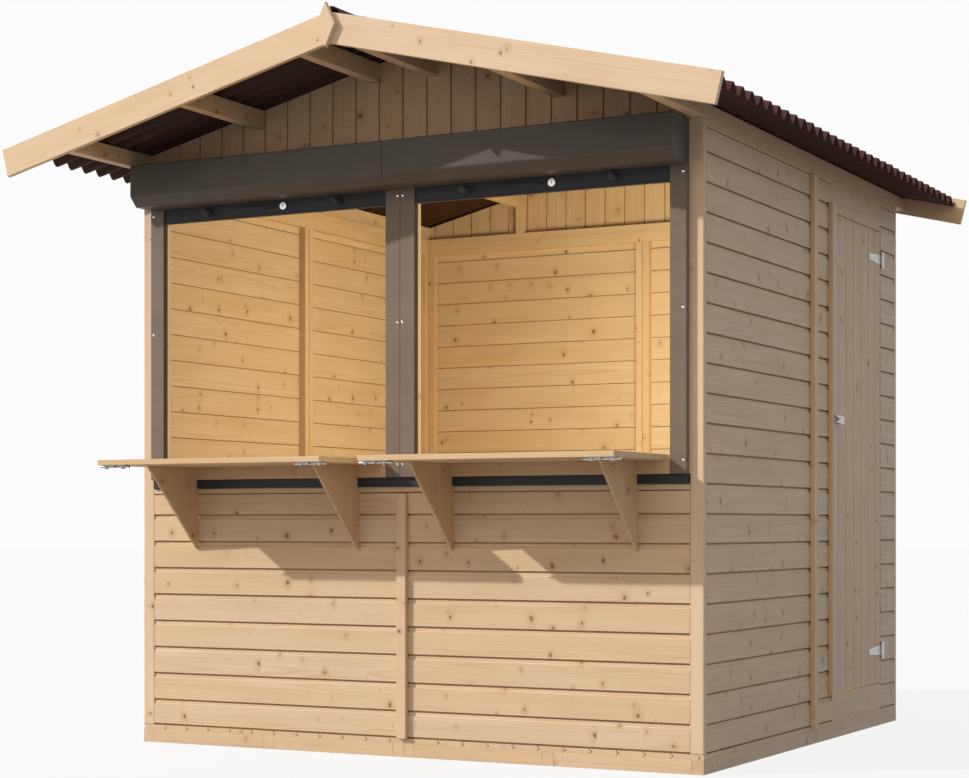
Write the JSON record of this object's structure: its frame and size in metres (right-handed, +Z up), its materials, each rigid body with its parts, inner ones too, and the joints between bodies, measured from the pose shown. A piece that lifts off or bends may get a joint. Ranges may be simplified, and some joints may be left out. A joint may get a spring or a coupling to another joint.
{
  "type": "wooden garden kiosk shed",
  "caption": "Small timber garden shed with a low pitched corrugated roof, shuttered serving hatches with fold-down counters in front, and a hinged door in its right side.",
  "frame": {"origin": "on the ground, under the middle of the roof's outline", "axes": "+X to the right seen from the front, +Y from the serving front to the rear, +Z up"},
  "size_m": [2.536, 2.578, 2.318],
  "materials": {
    "wall_timber": "planed, oiled softwood",
    "gable_timber": "planed softwood",
    "frame_timber": "planed softwood",
    "floor_timber": "planed softwood",
    "counter_timber": "planed softwood",
    "roof_sheet": "matt corrugated bitumen",
    "dark_metal": "satin powder coat",
    "zinc_steel": "galvanised",
    "bright_steel": "bright",
    "black_rubber": "matt"
  },
  "bodies": {
    "shed": {"counter_battens": "counter_timber", "counter_bolts": "zinc_steel", "counter_brackets": "counter_timber", "counters": "counter_timber", "cover_strips": "wall_timber", "door_hinge_pins": "zinc_steel", "door_jamb_strip": "wall_timber", "floor_beams_left": "floor_timber", "floor_beams_right": "floor_timber", "floor_boards": "floor_timber", "floor_joists_left": "floor_timber", "floor_joists_right": "floor_timber", "front_bargeboards": "gable_timber", "front_cap_board": "wall_timber", "front_centre_post": "wall_timber", "front_gable": "gable_timber", "front_headers": "wall_timber", "front_left_post": "wall_timber", "front_lower_panels": "wall_timber", "front_right_post": "wall_timber", "front_sill": "dark_metal", "front_wall_studs": "frame_timber", "hasp_staple": "zinc_steel", "left_purlins": "frame_timber", "left_roof_sheets": "roof_sheet", "left_wall_panels": "wall_timber", "left_wall_studs": "frame_timber", "purlin_posts": "frame_timber", "rear_bargeboards": "gable_timber", "rear_corner_posts": "wall_timber", "rear_gable": "gable_timber", "rear_wall_panels": "wall_timber", "rear_wall_studs": "frame_timber", "ridge_cap": "roof_sheet", "ridge_plates": "gable_timber", "right_purlins": "frame_timber", "right_roof_sheets": "roof_sheet", "right_wall_front_panel": "wall_timber", "right_wall_hinge_panel": "wall_timber", "right_wall_latch_panel": "wall_timber", "right_wall_over_door": "wall_timber", "right_wall_studs": "frame_timber", "right_wall_under_door": "wall_timber", "shutter_boxes": "dark_metal", "shutter_end_slats": "dark_metal", "shutter_guides": "dark_metal", "shutter_locks": "bright_steel", "shutter_stops": "black_rubber", "wall_plates": "frame_timber", "wall_rails": "frame_timber"},
    "door": {"door_hinge_straps": "zinc_steel", "door_leaf": "wall_timber", "hasp": "zinc_steel"}
  },
  "joints": [
    {"name": "door_hinge", "type": "hinge", "parent": "shed", "child": "door", "pos_m": [1.0385, 0.937, 0.995], "axis": [0, 0, 1], "range_deg": [0, 110]}
  ]
}
